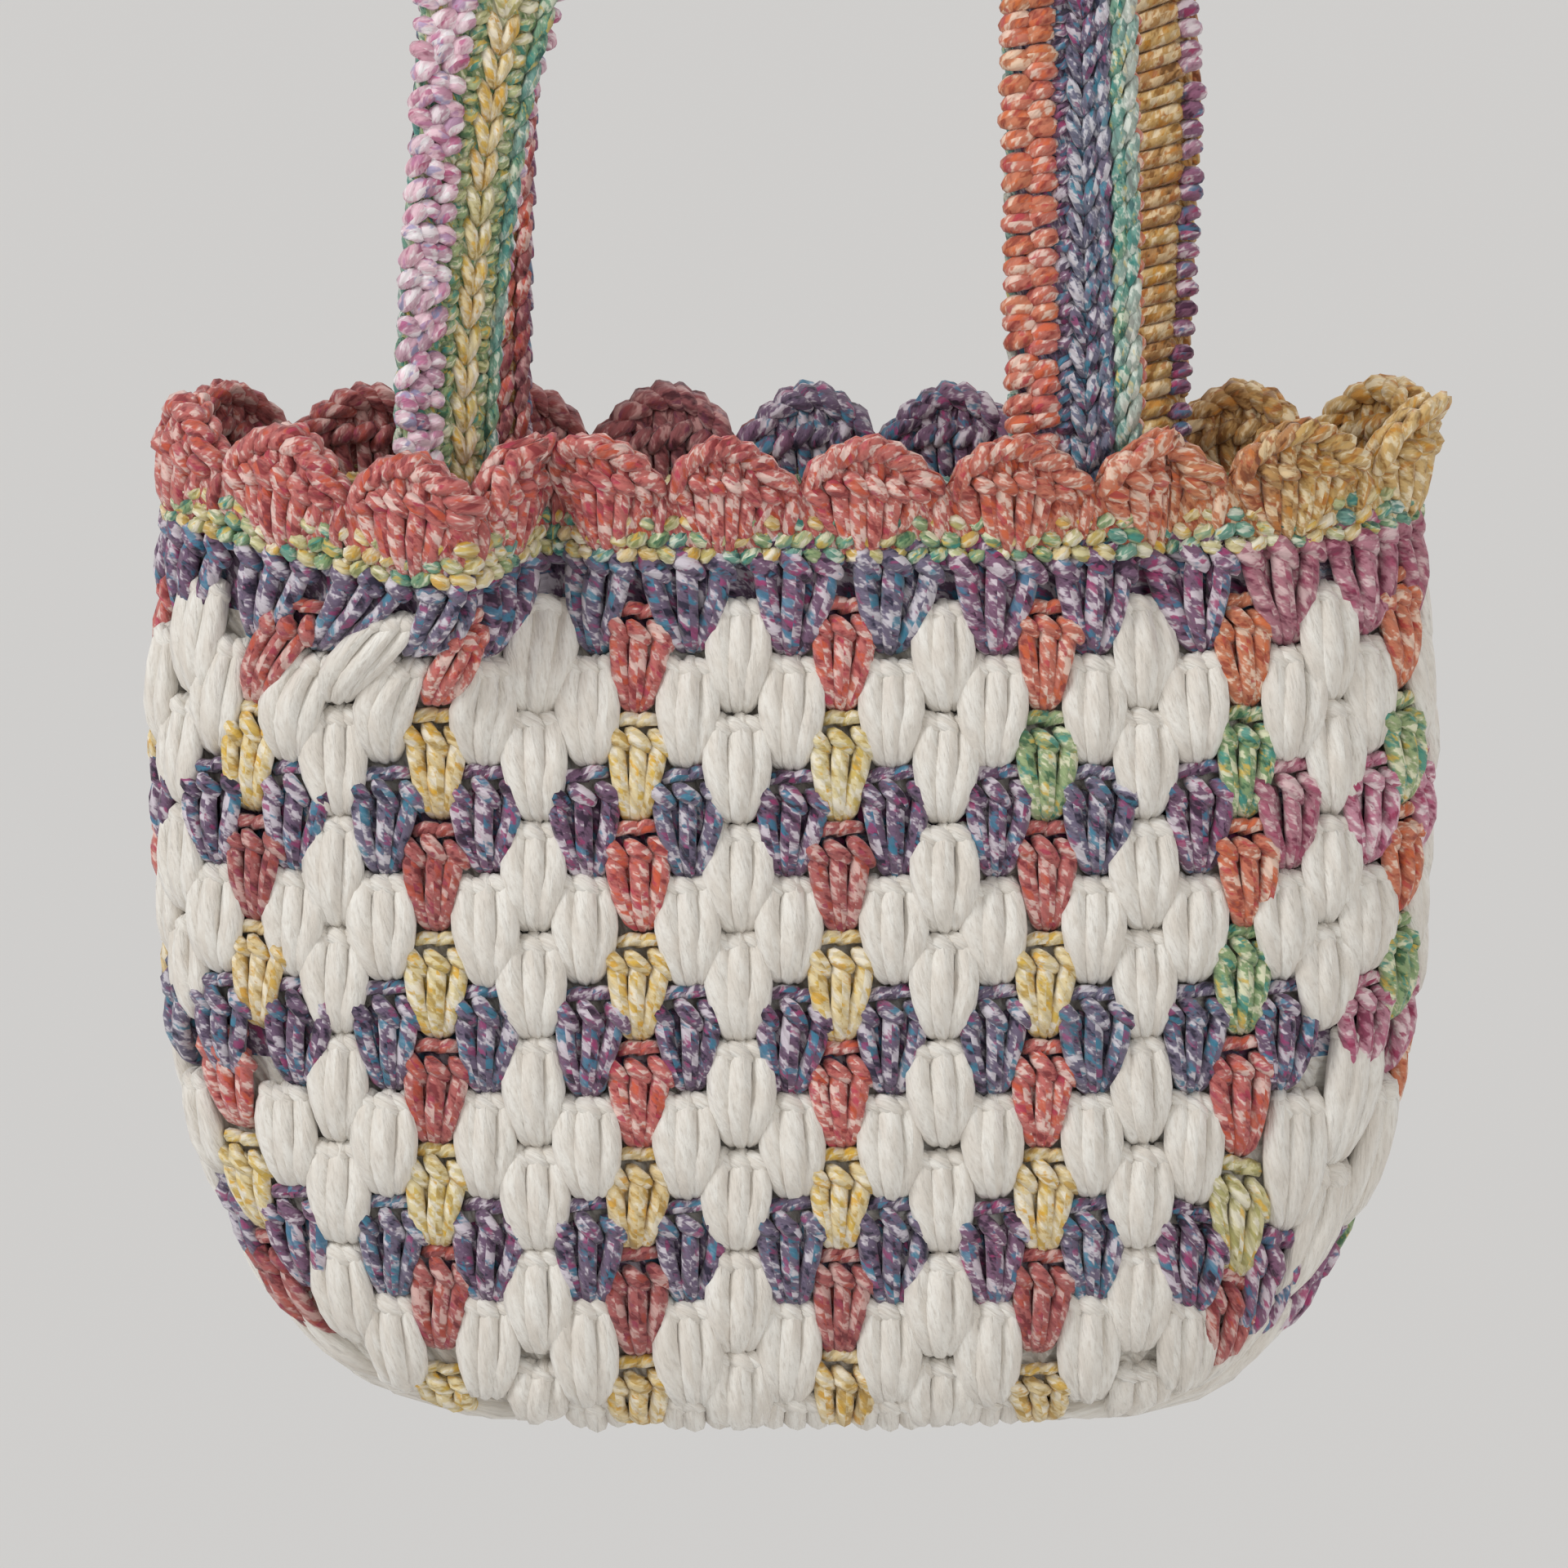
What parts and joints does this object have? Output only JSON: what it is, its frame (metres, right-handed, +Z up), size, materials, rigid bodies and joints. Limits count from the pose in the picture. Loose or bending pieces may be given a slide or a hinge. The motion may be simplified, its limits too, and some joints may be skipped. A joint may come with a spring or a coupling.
{
  "type": "crochet bag",
  "caption": "Soft crocheted handbag with an oval open mouth, a flat base, a scalloped rim and two long shoulder straps, shown hanging by the straps.",
  "frame": {"origin": "where the bag hangs: the middle of the underside of the tops of the two straps, which lie side by side over a peg", "axes": "+Z up, -Y out of the front of the bag, +X to the right seen from the front"},
  "size_m": [0.3003, 0.1036, 0.4639],
  "materials": {
    "body_yarn": "matt chunky yarn, clusters of white and speckled colours",
    "band_yarn": "matt speckled green and yellow yarn in small stitches",
    "trim_yarn": "matt speckled coral yarn that turns gold to the right",
    "front_strap_yarn": "matt speckled yarn in lengthwise rows",
    "back_strap_yarn": "matt speckled gold yarn in cross ribs"
  },
  "bodies": {
    "root": {"bag_body": "body_yarn", "rim_band": "band_yarn", "scallop_trim": "trim_yarn", "front_handle": "front_strap_yarn", "back_handle": "back_strap_yarn"}
  },
  "joints": []
}
